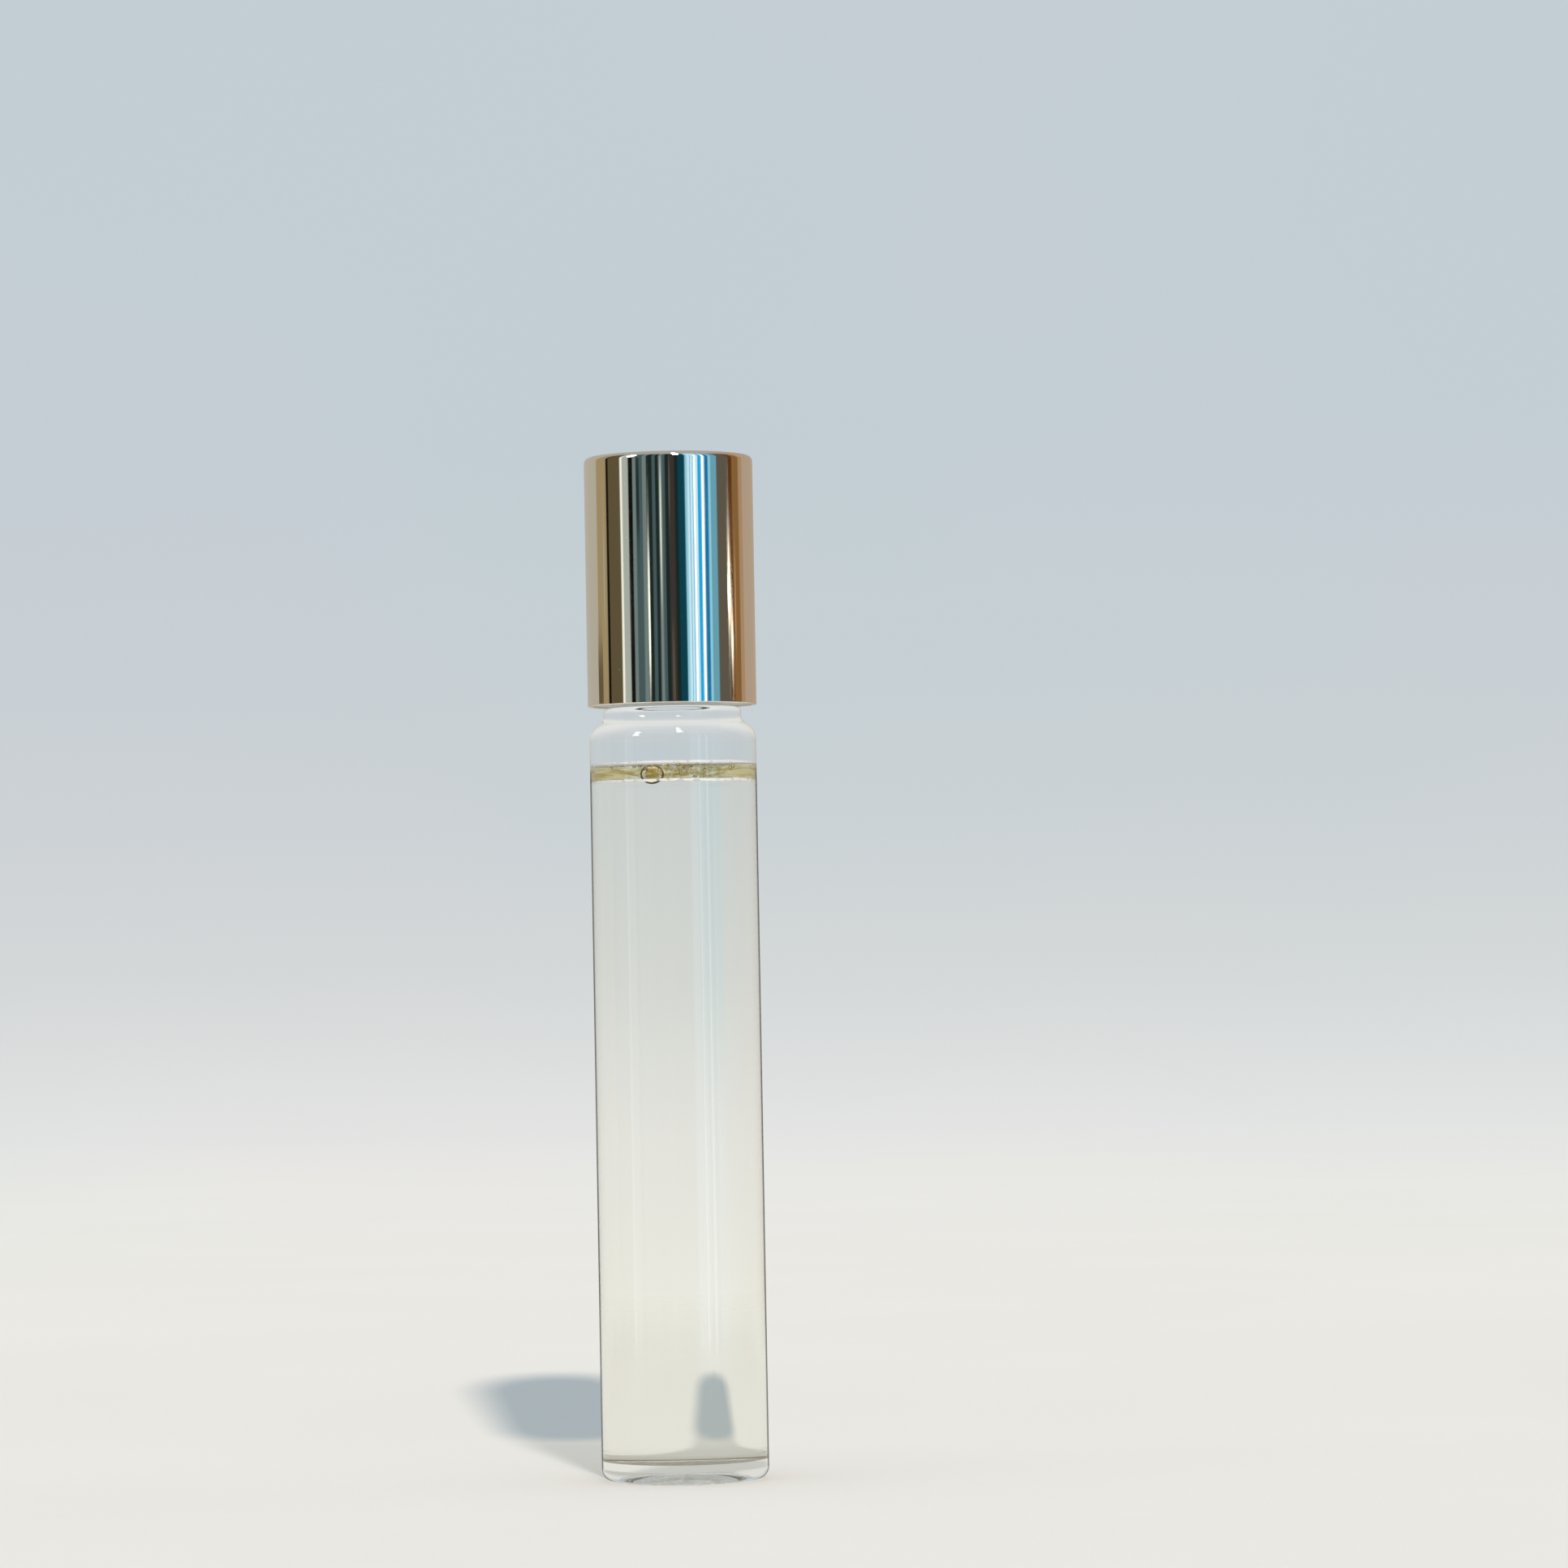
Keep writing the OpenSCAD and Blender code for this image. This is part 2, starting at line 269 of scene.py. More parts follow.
class Graph:
    """A node tree with short ways to add to it. A socket or a value can go into any input."""

    def __init__(self, tree):
        self.tree = tree
        tree.nodes.clear()

    def add(self, kind, inputs=None, **settings):
        """A node. A shade given as an input is red, green and blue."""
        node = self.tree.nodes.new("ShaderNode" + kind)
        for name, value in settings.items():
            setattr(node, name, value)
        for name, value in (inputs or {}).items():
            socket = node.inputs[name]
            if isinstance(value, bpy.types.NodeSocket):
                self.tree.links.new(value, socket)
            elif socket.type == "RGBA":
                socket.default_value = (*value, 1)
            else:
                socket.default_value = value
        return node

    def math(self, operation, *values):
        return self.add("Math", dict(enumerate(values)), operation=operation).outputs[0]

    def span(self, value, low, high, to_low=0, to_high=1):
        """Moves a value smoothly from one span to another."""
        inputs = {"Value": value, 1: low, 2: high, 3: to_low, 4: to_high}
        return self.add("MapRange", inputs, interpolation_type="SMOOTHSTEP").outputs[0]

    def mix(self, share, low, high, blend="MIX"):
        inputs = {0: share, 6: low, 7: high}
        return self.add("Mix", inputs, data_type="RGBA", blend_type=blend).outputs[2]

    def noise(self, scale, stretch=(1, 1, 1), detail=2, where=None):
        """Noise with a scale in lumps a metre. A stretch under 1 draws them out along that axis."""
        if where is None:
            where = self.add("TexCoord").outputs["Object"]
        place = self.add("Mapping", {"Vector": where, "Scale": stretch}).outputs[0]
        return self.add("TexNoise", {"Vector": place, "Scale": scale, "Detail": detail}).outputs[0]

    def cloud(self, scale, stretch=(1, 1, 1), detail=2, where=None, low=0.3, high=0.7):
        """Noise that runs from 0 to 1, with its contrast set by the values it is cut off at."""
        return self.span(self.noise(scale, stretch, detail, where), low, high)

    def bump(self, height, distance, strength=1):
        inputs = {"Height": height, "Distance": distance, "Strength": strength}
        return self.add("Bump", inputs).outputs[0]

    def ramp(self, value, low, high, stops):
        """Colours along a value, each stop with its value in the same unit as low and high."""
        share = self.add("MapRange", {"Value": value, 1: low, 2: high}).outputs[0]
        node = self.add("ValToRGB", {0: share})
        elements = node.color_ramp.elements
        for i, (at, shade) in enumerate(stops):
            position = (at - low) / (high - low)
            if i < 2:
                elements[i].position = position
            element = elements[i] if i < 2 else elements.new(position)
            element.color = (*shade, 1)
        return node.outputs[0]

    def place(self):
        """The x, y and z of the point in its piece's own frame."""
        return self.add("SeparateXYZ", {0: self.add("TexCoord").outputs["Object"]}).outputs

    def turned_away(self):
        """How far the surface turns away, from 0 to 1."""
        return self.add("LayerWeight", {"Blend": 0.5}).outputs["Facing"]

    def shut_in(self, ior):
        """Where total reflection keeps light in, 1, and elsewhere 0."""
        return self.span(self.add("Fresnel", {"IOR": ior}).outputs[0], *SHUT_IN)

    def matt(self, shade):
        return self.add("BsdfDiffuse", {"Color": shade}).outputs[0]

    def haze(self, shade):
        """Half matt, half letting soft light through."""
        soft = self.add("BsdfTranslucent", {"Color": shade}).outputs[0]
        return self.cover(self.matt(shade), soft, 0.5)

    def straight(self, shade, roughness=0):
        """Clear stuff that doesn't bend light."""
        inputs = {"Color": shade, "Roughness": roughness, "IOR": 1}
        return self.add("BsdfRefraction", inputs).outputs[0]

    def cover(self, below, above, share):
        """A shader with a share of it covered by another."""
        return self.add("MixShader", {0: share, 1: below, 2: above}).outputs[0]

    def surface(self, shader):
        self.add("OutputMaterial", {"Surface": shader})

    def lit_through(self, shader, light):
        """A surface that lets the lamps through with a slight tint, as thin clear glass does."""
        clear = self.add("BsdfTransparent", {"Color": light}).outputs[0]
        self.surface(self.cover(shader, clear, self.add("LightPath").outputs["Is Shadow Ray"]))


def material(name):
    made = bpy.data.materials.new(name)
    made.use_nodes = True
    return made, Graph(made.node_tree)


def glass_wave(g):
    """The slight unevenness of drawn glass."""
    return g.bump(g.noise(120, stretch=(1, 1, 0.15), detail=1), GLASS_WAVE_H, 0.5)


def bending(g, shade, ior, **more):
    """Clear stuff that only bends light, and mirrors it where it can't get out."""
    inputs = {"Color": shade, "Roughness": 0, **more}
    bent = g.add("BsdfRefraction", {**inputs, "IOR": ior}).outputs[0]
    mirrored = g.add("BsdfAnisotropic", inputs).outputs[0]
    return g.cover(bent, mirrored, g.shut_in(ior))


def dry_glass(g, ior, shade=CLEAR_SHADE):
    """Clear glass that bends light as ior says, and mirrors as real glass does, by its coat."""
    return g.add("BsdfPrincipled", {
        "Base Color": shade, "Roughness": 0, "IOR": ior, "Transmission Weight": 1,
        "Coat Weight": COAT_SHARE, "Coat Roughness": 0, "Coat IOR": GLASS_IOR,
        "Normal": glass_wave(g)}).outputs[0]


def froth_line(g, middle_z):
    """How much of the surface is froth: a thin broken line round the wall at a height."""
    wander = g.math("MULTIPLY", g.math("SUBTRACT", g.noise(420), 0.5), LINE_WANDER)
    above = g.math("SUBTRACT", g.place()[2], middle_z)
    aside = g.math("ABSOLUTE", g.math("ADD", above, wander))
    line = g.span(aside, LINE_HALF, LINE_HALF / 2)
    broken = g.span(g.noise(1900, stretch=(1, 1, 2), detail=3), 0.38, 0.48, to_low=0.15)
    return g.math("MULTIPLY", line, broken)


def glass_material():
    """Clear glass. Below the oil's level its very edge gets a painted dark shade, in place of the
    darkening where the oil behind it bends light from far aside.
    """
    made, g = material("clear_glass")
    # Painted shade: a matt dark edge where the wall turns away, below the oil's level
    edge = g.span(g.turned_away(), *WALL_PAINTED_EDGE)
    wet = g.span(g.place()[2], oil_high.z, LEVEL_Z)
    painted_edge = g.math("MULTIPLY", g.math("MULTIPLY", edge, wet), WALL_PAINTED_EDGE_SHARE)
    glass = g.add("BsdfPrincipled", {
        "Base Color": WALL_SHADE, "Roughness": 0, "IOR": GLASS_IOR,
        "Transmission Weight": 1, "Normal": glass_wave(g)}).outputs[0]
    # Light that total reflection would shut in the wall for good goes straight on
    let_out = g.cover(glass, g.straight(LET_OUT_SHADE), g.shut_in(GLASS_IOR))
    g.lit_through(g.cover(let_out, g.matt(PAINTED_EDGE_SHADE), painted_edge), WALL_LIGHT)
    return made


def wetted_glass_material():
    """The inside of the wall under the oil. It hardly mirrors, as the oil bends light alike."""
    made, g = material("wetted_glass")
    g.lit_through(bending(g, WETTED_SHADE, GLASS_IOR, Normal=glass_wave(g)), INSIDE_LIGHT)
    return made


def neck_inside_material():
    """The inside of the neck and shoulder, with a broken line of froth at the oil's edge."""
    made, g = material("neck_inside")
    line = froth_line(g, oil_high.z + LINE_OFF)
    glass = g.straight(NECK_INSIDE_SHADE)
    g.lit_through(g.cover(glass, g.matt(FROTH_SHADE), line), INSIDE_LIGHT)
    return made


def foot_glass_material():
    """The underside, a little hazy from its mould and worn where it stands."""
    made, g = material("glass_foot")
    worn = g.span(g.noise(900, detail=3), 0.35, 0.65, *WORN_SHARES)
    glass = dry_glass(g, BASE_IOR, BASE_SHADE)
    g.lit_through(g.cover(glass, g.haze(FOOT_SHADE), worn), FOOT_LIGHT)
    return made


def neck_glass_material():
    """The neck and shoulder, with air on both sides. They hardly bend what lies behind them."""
    made, g = material("neck_glass")
    g.lit_through(dry_glass(g, NECK_IOR), WALL_LIGHT)
    return made


def base_glass_material():
    """The glass under the liquid, with a painted olive shade where it turns away."""
    made, g = material("base_glass")
    # Painted shade: a matt olive edge where the base turns away
    painted_edge = g.math("MULTIPLY", g.span(g.turned_away(), *BASE_PAINTED_EDGE), BASE_PAINTED_EDGE_SHARE)
    glass = dry_glass(g, BASE_IOR, BASE_SHADE)
    g.lit_through(g.cover(glass, g.matt(BASE_PAINTED_EDGE_SHADE), painted_edge), WALL_LIGHT)
    return made


def oil_material():
    """The liquid, with a broken line of froth on its front at the foot of its curved edge."""
    made, g = material("pale_oil")
    tint = g.mix(g.cloud(60, stretch=(1, 1, 0.4), low=0.35, high=0.65), *OIL_SHADES)
    front = g.span(g.place()[1], -MM, -2 * MM)
    line = g.math("MULTIPLY", froth_line(g, LEVEL_Z - LINE_OFF), front)
    g.lit_through(g.cover(bending(g, tint, OIL_IOR), g.matt(FROTH_SHADE), line), OIL_LIGHT)
    return made


def oil_top_material():
    """The flat of the oil's top, half hidden by a film of fine froth in its colour."""
    made, g = material("oil_surface")
    shade = g.mix(g.cloud(300), *OIL_TOP_SHADES)
    oil = g.add("BsdfGlass", {"Color": shade, "Roughness": 0, "IOR": OIL_IOR}).outputs[0]
    g.lit_through(g.cover(oil, g.haze(shade), FILM_SHARE), OIL_TOP_LIGHT)
    return made


def oil_edge_material():
    """The oil's curved edge: a painted golden reflection, mottled in the middle, with a white line
    above and below. The gold stands in for light mirrored by total reflection down the long way
    through the oil.
    """
    made, g = material("oil_edge")
    x, _, height = g.place()
    lumps = g.cloud(1500, stretch=(1, 1, 1.3), detail=4, low=0.4, high=0.62)
    aside = g.math("ABSOLUTE", g.math("SUBTRACT", x, MOTTLE_X))
    # Painted reflection: the gold that total reflection down the oil would show, on a surface that
    # only lets light straight through
    painted_gold = g.mix(g.span(aside, *MOTTLE_HALF), PAINTED_GOLD_SHADE, g.mix(lumps, *MOTTLE_SHADES))
    line_end, line_full = EDGE_LINE
    near_top = g.span(height, oil_high.z - line_end, oil_high.z - line_full)
    near_foot = g.span(height, LEVEL_Z + line_end, LEVEL_Z + line_full)
    line = g.math("ADD", near_top, near_foot)
    broken = g.cloud(2600, stretch=(1, 1, 0.2), low=0.38, high=0.46)
    dots = g.math("MULTIPLY", g.math("MULTIPLY", line, broken), DOTS_SHARE)
    oil = g.straight(g.mix(line, painted_gold, LINE_SHADE), roughness=0.02)
    g.lit_through(g.cover(oil, g.matt(FROTH_SHADE), dots), OIL_TOP_LIGHT)
    return made


def bubble_material():
    """A bubble's skin: clear in the middle, with a painted olive shade at its edge and a painted
    highlight rim inside that.
    """
    made, g = material("bubble_skin")
    facing = g.turned_away()
    skin = g.mix(g.cloud(900), *BUBBLE_SHADES)
    clear = g.add("BsdfRefraction", {"Color": skin, "Roughness": 0, "IOR": BUBBLE_IOR}).outputs[0]
    broken = g.cloud(1400, low=0.42, high=0.52)
    # Painted highlight inside the edge and painted dark shade at the very edge, both set by how far
    # the skin turns away
    painted_highlight = g.math("MULTIPLY", g.span(facing, *BUBBLE_PAINTED_HIGHLIGHT_RIM), broken)
    painted_shade = g.span(facing, *BUBBLE_PAINTED_SHADE_RIM)
    with_painted_highlight = g.cover(clear, g.matt(BUBBLE_PAINTED_HIGHLIGHT_SHADE), painted_highlight)
    g.lit_through(g.cover(with_painted_highlight, g.matt(BUBBLE_PAINTED_SHADE), painted_shade), BUBBLE_LIGHT)
    return made


def shell_material():
    """Drawn metal, mirror polished, with faint lengthwise waves."""
    made, g = material("polished_shell")
    drawn = g.noise(900, stretch=(1, 1, 0.02))
    wave = g.noise(200, stretch=(1, 1, 0.12), detail=1)
    height = g.math("ADD", g.math("MULTIPLY", drawn, 0.25), wave)
    streaks = g.noise(1600, stretch=(1, 1, 0.05), detail=3)
    shine = g.span(streaks, 0.2, 0.8, *SHELL_ROUGHNESS)
    metal = g.add("BsdfPrincipled", {
        "Base Color": SHELL_SHADE, "Metallic": 1, "Roughness": shine,
        "Normal": g.bump(height, SHELL_WAVE_H)})
    g.surface(metal.outputs[0])
    return made


def shell_inside_material():
    """The inside of the shell, matt as it was drawn."""
    made, g = material("shell_inside")
    drawn = g.noise(2400, stretch=(1, 1, 0.1), detail=3)
    metal = g.add("BsdfPrincipled", {
        "Base Color": g.mix(g.span(drawn, 0.3, 0.7), *SHELL_INSIDE_SHADES),
        "Metallic": 0.6, "Roughness": g.span(drawn, 0.3, 0.7, *SHELL_INSIDE_ROUGHNESS),
        "Normal": g.bump(drawn, DRAWN_H, 0.4)})
    g.surface(metal.outputs[0])
    return made


def moulded_material(name, shades, roughness, grain, glow=0.0):
    """A moulded plastic, with a faint cloud in its colour, a fine grain and some light within."""
    made, g = material(name)
    fine = g.noise(grain, detail=3)
    rough = g.span(fine, 0.2, 0.8, roughness - ROUGHNESS_SWING, roughness + ROUGHNESS_SWING)
    plastic = g.add("BsdfPrincipled", {
        "Base Color": g.mix(g.cloud(350, detail=3), *shades), "Roughness": rough,
        "IOR": PLASTIC_IOR, "Subsurface Weight": glow, "Subsurface Radius": (1, 1, 1),
        "Subsurface Scale": GLOW_DEPTH, "Normal": g.bump(fine, GRAIN_H, 0.35)})
    g.surface(plastic.outputs[0])
    return made


def ball_material():
    """Polished steel, with the fine scratches of its tumbling."""
    made, g = material("steel_ball")
    scratch = g.noise(5200, stretch=(1, 0.12, 0.4), detail=4)
    steel = g.add("BsdfPrincipled", {
        "Base Color": g.mix(g.span(scratch, 0.3, 0.7), *STEEL_SHADES),
        "Metallic": 1, "Roughness": g.span(scratch, 0.3, 0.8, *BALL_ROUGHNESS),
        "Normal": g.bump(scratch, SCRATCH_H, 0.4)})
    g.surface(steel.outputs[0])
    return made


def glass_outline():
    """The vial's half section, from the middle of its foot round the outside to its floor."""
    rest_r = BODY_R - HEEL_R - REST_W
    dome_r = (rest_r ** 2 + PUSH_UP ** 2) / (2 * PUSH_UP)
    dome_end = math.degrees(math.acos(rest_r / dome_r))
    fillet_r = BEAD_R + BEAD_FILLET
    shoulder_z = BODY_TOP_Z - SHOULDER_R
    reach = SHOULDER_R + BEAD_FILLET
    fillet_x = fillet_r - (BODY_R - SHOULDER_R)
    fillet_z = shoulder_z + math.sqrt(reach ** 2 - fillet_x ** 2)
    meet = math.degrees(math.atan2(fillet_z - shoulder_z, fillet_x))
    bead_top = BODY_TOP_Z + BEAD_H
    neck_top = LIP_Z - LIP_ROUND
    rows = round((neck_top - bead_top) / THREAD_ROW)
    neck = [(ROOT_R, bead_top + (neck_top - bead_top) * i / rows) for i in range(rows)]
    inner_r = HOLLOW_R - HOLLOW_ROUND
    return [
        *arc(0, PUSH_UP - dome_r, dome_r, 90, dome_end, LONG_ARC_STEPS)[:-1],
        (rest_r, 0),
        *arc(BODY_R - HEEL_R, HEEL_R, HEEL_R, -90, 0),
        (BODY_R, HEEL_R + HOLD),
        (BODY_R, shoulder_z - HOLD),
        *arc(BODY_R - SHOULDER_R, shoulder_z, SHOULDER_R, 0, meet, LONG_ARC_STEPS),
        *arc(fillet_r, fillet_z, BEAD_FILLET, 180 + meet, 180, TINY_ARC_STEPS)[1:],
        *arc(BEAD_R - BEAD_ROUND, bead_top - BEAD_ROUND, BEAD_ROUND, 0, 90, SHORT_ARC_STEPS),
        *neck,
        *arc(ROOT_R - LIP_ROUND, neck_top, LIP_ROUND, 0, 90, SHORT_ARC_STEPS),
        (BORE_R + LIP_ROUND, LIP_Z),
        (BORE_R, neck_top),
        *arc(BORE_R + BORE_ROUND, CEILING_Z + BORE_ROUND, BORE_ROUND, 180, 270, SHORT_ARC_STEPS),
        *arc(inner_r, CEILING_Z - HOLLOW_ROUND, HOLLOW_ROUND, 90, 0),
        (HOLLOW_R, CEILING_Z - HOLLOW_ROUND - HOLD),
        (HOLLOW_R, oil_high.z),
        (HOLLOW_R, FLOOR_Z + HOLLOW_ROUND + HOLD),
        *arc(inner_r, FLOOR_Z + HOLLOW_ROUND, HOLLOW_ROUND, 0, -90),
        (0, FLOOR_Z),
    ]


def thread_relief(r, z, angle):
    """How far the thread stands out of the neck there."""
    if r != ROOT_R:
        return 0
    turn = angle / TAU
    turns = turn + round((z - THREAD_LOW_Z) / LEAD - turn)
    aside = abs(z - THREAD_LOW_Z - turns * LEAD)
    side = smooth((FOOT_HALF - aside) / (FOOT_HALF - CREST_HALF))
    ends = smooth(min(turns, THREAD_TURNS - turns) / THREAD_FADE)
    return THREAD_H * side * ends


def glass_skin(middle):
    """Which of the vial's skins a face has, by its middle."""
    reach = math.hypot(middle.x, middle.y)
    in_bore = reach < BORE_R + BORE_ROUND + HOLD and middle.z > CEILING_Z
    in_hollow = reach < HOLLOW_R + HOLD / 2 and FLOOR_Z - HOLD < middle.z < CEILING_Z + HOLD
    if in_bore or in_hollow:
        return WETTED if middle.z < oil_high.z else NECK_INSIDE
    if middle.z > oil_high.z:
        return NECK
    if middle.z > FLOOR_Z:
        return OUTSIDE
    return FOOT if reach < BODY_R - HEEL_R / 2 and middle.z < PUSH_UP + HOLD else BASE


def make_glass(skins):
    """The vial, with its neck's thread."""
    made = lathe(glass_outline(), thread_relief)
    for face in made.faces:
        face.material_index = glass_skin(face.calc_center_median())
    materials = [skins[skin] for skin in sorted(skins)]
    piece_from("glass_vial", made, "bottle", materials, ["glass_bottle"])


def oil_skin(middle):
    """Which of the oil's skins a face has, by its middle."""
    if math.hypot(middle.x, middle.y) > oil_high.x or middle.z < LEVEL_Z - MM:
        return SIDE
    return TOP if middle.z < LEVEL_Z + FLAT_WITHIN else EDGE


def make_oil(skins):
    """The liquid, whose edge climbs the wall."""
    wet_r = HOLLOW_R + WETTING
    inner_r = HOLLOW_R - HOLLOW_ROUND
    rise = MENISCUS_R - MENISCUS_H
    start_r = oil_high.x - math.sqrt(MENISCUS_R ** 2 - rise ** 2)
    contact = math.degrees(math.asin(-rise / MENISCUS_R))
    outline = [
        (0, FLOOR_Z - WETTING),
        *arc(inner_r, FLOOR_Z + HOLLOW_ROUND, HOLLOW_ROUND + WETTING, -90, 0),
        (wet_r, FLOOR_Z + HOLLOW_ROUND + HOLD),
        (wet_r, oil_high.z - HOLD),
        (wet_r, oil_high.z),
        *arc(start_r, LEVEL_Z + MENISCUS_R, MENISCUS_R, contact, -90, MENISCUS_STEPS),
        (0, LEVEL_Z),
    ]
    made = lathe(outline)
    for face in made.faces:
        face.material_index = oil_skin(face.calc_center_median())
    materials = [skins[skin] for skin in sorted(skins)]
    piece_from("pale_oil", made, "bottle", materials, ["fragrance_oil"])


def make_bubble(skin):
    """The large bubble against the front of the wall."""
    made = bmesh.new()
    bmesh.ops.create_uvsphere(
        made, u_segments=BUBBLE_SEGMENTS, v_segments=BUBBLE_RINGS, radius=BUBBLE_R)
    depth = math.sqrt((HOLLOW_R - BUBBLE_R - WETTING) ** 2 - BUBBLE_X ** 2)
    bmesh.ops.scale(made, vec=BUBBLE_STRETCH, verts=made.verts)
    bmesh.ops.translate(made, vec=(BUBBLE_X, -depth, BUBBLE_Z), verts=made.verts)
    piece_from("bubble", made, "bottle", [skin])


def make_froth(skin):
    """Small bubbles caught at the oil's edge."""
    chance = random.Random(FROTH_SEED)
    made = bmesh.new()
    for _ in range(FROTH_COUNT):
        radius = chance.uniform(*FROTH_R)
        angle = math.radians(chance.gauss(FROTH_AT, FROTH_SPREAD))
        reach = oil_high.x - radius - chance.uniform(0, radius)
        z = LEVEL_Z + chance.uniform(*FROTH_HEIGHT_SHARES) * (oil_high.z - LEVEL_Z)
        place = Matrix.Translation((reach * math.sin(angle), -reach * math.cos(angle), z))
        bmesh.ops.create_icosphere(made, subdivisions=2, radius=radius, matrix=place)
    piece_from("froth", made, "bottle", [skin])


def make_shell(metal, inside):
    """The cap's shell, a drawn cup with a rounded top edge and hem, and a skin for its inside."""
    inner_r = shell_high.x - SHELL_T
    inner_z = shell_high.z - SHELL_T
    inner_round = SHELL_ROUND - SHELL_T
    round_r = shell_high.x - SHELL_ROUND
    round_z = shell_high.z - SHELL_ROUND
    hem_r = shell_high.x - SHELL_HEM
    outline = [
        *arc(hem_r, shell_low.z + SHELL_HEM, SHELL_HEM, -90, 0, TINY_ARC_STEPS),
        (shell_high.x, shell_low.z + SHELL_HEM + HOLD),
        (shell_high.x, round_z - HOLD),
        *arc(round_r, round_z, SHELL_ROUND, 0, 90, LONG_ARC_STEPS),
        (0, shell_high.z),
        (0, inner_z),
        *arc(inner_r - inner_round, inner_z - inner_round, inner_round, 90, 0, TINY_ARC_STEPS),
        (inner_r, shell_low.z),
        (hem_r, shell_low.z),
    ]
    made = lathe(outline)
    for face in made.faces:
        middle = face.calc_center_median()
        in_wall = math.hypot(middle.x, middle.y) < inner_r + SHELL_HEM / 2
        face.material_index = int(in_wall and middle.z < inner_z + SHELL_HEM / 2)
    piece_from("shell", made, "cap", [metal, inside], ["cap_shell"])


def make_cap_thread(plastic):
    """The thread inside the cap, a ridge that runs half a lead under the neck's own thread."""
    made = bmesh.new()
    rows = []
    for i in range(CAP_THREAD_TURNS * CAP_THREAD_STEPS + 1):
        turns = i / CAP_THREAD_STEPS
        angle = turns * TAU
        ends = smooth(min(turns, CAP_THREAD_TURNS - turns) / THREAD_FADE)
        crest_r = CAP_ROOT_R - (CAP_ROOT_R - CAP_CREST_R) * ends
        z = CAP_THREAD_LOW_Z + turns * LEAD
        section = [(CAP_SUNK_R, FOOT_HALF), (CAP_ROOT_R, FOOT_HALF), (crest_r, CREST_HALF),
                   (crest_r, -CREST_HALF), (CAP_ROOT_R, -FOOT_HALF), (CAP_SUNK_R, -FOOT_HALF)]
        rows.append([made.verts.new((r * math.cos(angle), r * math.sin(angle), z + dz))
                     for r, dz in section])
    for here, there in zip(rows, rows[1:]):
        for k in range(len(here)):
            n = (k + 1) % len(here)
            made.faces.new((here[k], here[n], there[n], there[k]))
    made.faces.new(rows[0])
    made.faces.new(rows[-1])
    piece_from("cap_thread", made, "cap", [plastic])


def dress(node, made):
    """Gives a CAD node its material."""
    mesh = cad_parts[node].data
    mesh.materials.clear()
    mesh.materials.append(made)


white = moulded_material("white_polypropylene", WHITE_SHADES, roughness=0.38, grain=4200)
natural = moulded_material(
    "natural_polyethylene", NATURAL_SHADES, roughness=0.42, grain=3000, glow=0.35)
foam = moulded_material("soft_seal", FOAM_SHADES, roughness=0.75, grain=1800)
bubble_skin = bubble_material()

make_glass({
    OUTSIDE: glass_material(), WETTED: wetted_glass_material(), NECK: neck_glass_material(),
    BASE: base_glass_material(), NECK_INSIDE: neck_inside_material(), FOOT: foot_glass_material()})
make_oil({SIDE: oil_material(), TOP: oil_top_material(), EDGE: oil_edge_material()})
make_bubble(bubble_skin)
make_froth(bubble_skin)
make_shell(shell_material(), shell_inside_material())
make_cap_thread(white)
dress("inner_cap", white)
dress("roller_housing", natural)
dress("ball_seal", foam)
dress("roller_ball", ball_material())

# Camera
EYE = Vector((0.0106, -0.6, 0.048))
AIM = Vector((0.0106, 0, 0.0664))
ROLL = math.radians(-1.04)
FOCAL_PIXELS = 7704  # In the photograph's frame
FRAME_PIXELS = 1932
SENSOR_MM = 36
NEAREST = 0.01
FARTHEST = 20


def make_camera():
    data = bpy.data.cameras.new("camera")
    data.sensor_width = SENSOR_MM
    data.lens = FOCAL_PIXELS / FRAME_PIXELS * SENSOR_MM
    data.clip_start = NEAREST
    data.clip_end = FARTHEST
    camera = bpy.data.objects.new("camera", data)
    camera.location = EYE
    camera.rotation_mode = "QUATERNION"
    camera.rotation_quaternion = (AIM - EYE).to_track_quat("-Z", "Y") @ Quaternion((0, 0, 1), ROLL)
    bpy.context.scene.collection.objects.link(camera)
    bpy.context.scene.camera = camera


# Light. Angles are in degrees, and an azimuth is 0 towards the camera and positive to the right.
KEY_AZIMUTH = 11.8
KEY_ELEVATION = 51.1
KEY_ENERGY = 2.015
KEY_SHADE = (1, 0.85, 0.72)
KEY_WIDTH = 3
FILL = (0.50, 0.576, 0.64)

# The pale backdrop, by elevation, and the cloud that tints it
BACKDROP = [
    (-3, (0.82, 0.83, 0.79)),
    (-1.5, (0.77, 0.78, 0.77)),
    (0, (0.66, 0.69, 0.69)),
    (1.5, (0.60, 0.645, 0.665)),
    (3, (0.57, 0.63, 0.66)),
    (5, (0.55, 0.617, 0.66)),
    (12, (0.55, 0.617, 0.66)),
]
BACKDROP_TINTS = (0.985, 1.0, 1.0), (1.015, 0.995, 1.005)
BACKDROP_CLOUD = 7

# How the backdrop looks through clear stuff. Past so many surfaces, light has been through the oil.
OIL_DEPTH = 4.5
GLASS_LIFT = (0.97, 0.97, 0.98)
OIL_LIFT = (1.09, 1.08, 1.09)

# What bends through the oil from the left is a little bluer
BLUE_LIFT = (0.93, 0.985, 1)
BLUE_AZIMUTH = -163
BLUE_HALF = 7
BLUE_LOW = -1.6
BLUE_HIGH = 30
BLUE_SOFT = 2

